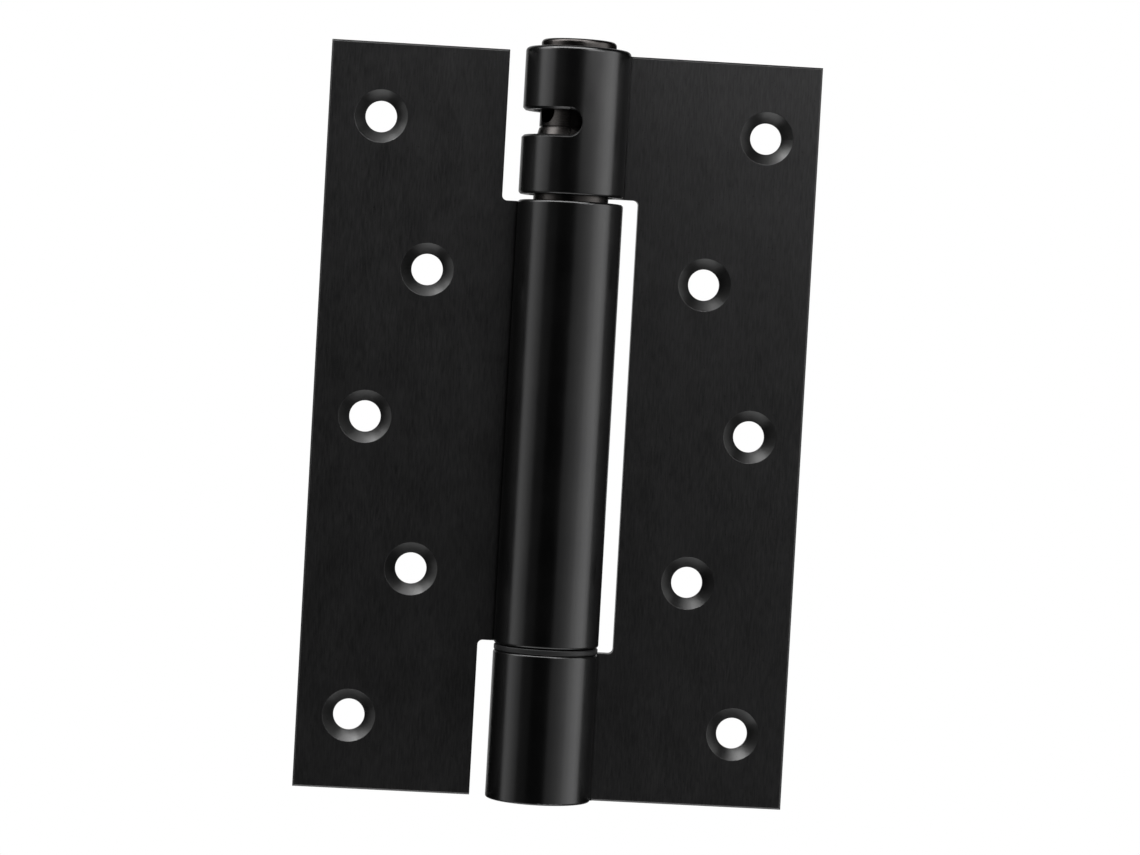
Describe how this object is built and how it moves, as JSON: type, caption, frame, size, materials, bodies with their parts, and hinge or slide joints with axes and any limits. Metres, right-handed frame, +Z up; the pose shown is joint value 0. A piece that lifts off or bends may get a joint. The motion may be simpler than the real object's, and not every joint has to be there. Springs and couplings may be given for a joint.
{
  "type": "spring butt hinge",
  "caption": "Self-closing butt hinge with two countersunk leaves, a long spring barrel and a tension window in its top knuckle.",
  "frame": {"origin": "on the pin axis, halfway up the overall height from the foot of the leaves to the top of the core's head", "axes": "+Z up along the pin axis with the tension window uppermost, +X across the frame leaf from the pin axis, +Y out of the leaves' backs, towards the door and its frame when the leaves are flat"},
  "size_m": [0.1, 0.0214, 0.1544],
  "materials": {
    "black_leaf": "satin black coat over brushed steel, grain along the pin axis",
    "black_turned": "satin black coat over turned steel",
    "bush": "black moulded acetal",
    "washer_black": "black moulded acetal",
    "bare_steel": "plain turned steel, lightly oiled",
    "spring_steel": "oil-tempered spring steel"
  },
  "bodies": {
    "frame_side": {"frame_leaf": "black_leaf", "bottom_bush": "bush", "thrust_washer": "washer_black", "bottom_cap": "black_turned"},
    "door_side": {"door_leaf": "black_leaf", "upper_bush": "bush", "spring_anchor": "bare_steel", "anchor_washer": "bare_steel", "anchor_ring": "spring_steel", "torsion_spring": "spring_steel"},
    "core": {"tension_core": "black_turned", "core_washer": "bare_steel", "core_ring": "spring_steel"}
  },
  "joints": [
    {"name": "leaf_swing", "type": "hinge", "parent": "frame_side", "child": "door_side", "pos_m": [0, 0, 0], "axis": [0, 0, 1], "range_deg": [0, 180], "deforming": ["torsion_spring"]},
    {"name": "core_turn", "type": "hinge", "parent": "frame_side", "child": "core", "pos_m": [0, 0, 0.0602], "axis": [0, 0, 1], "range_deg": [0, 270]}
  ]
}
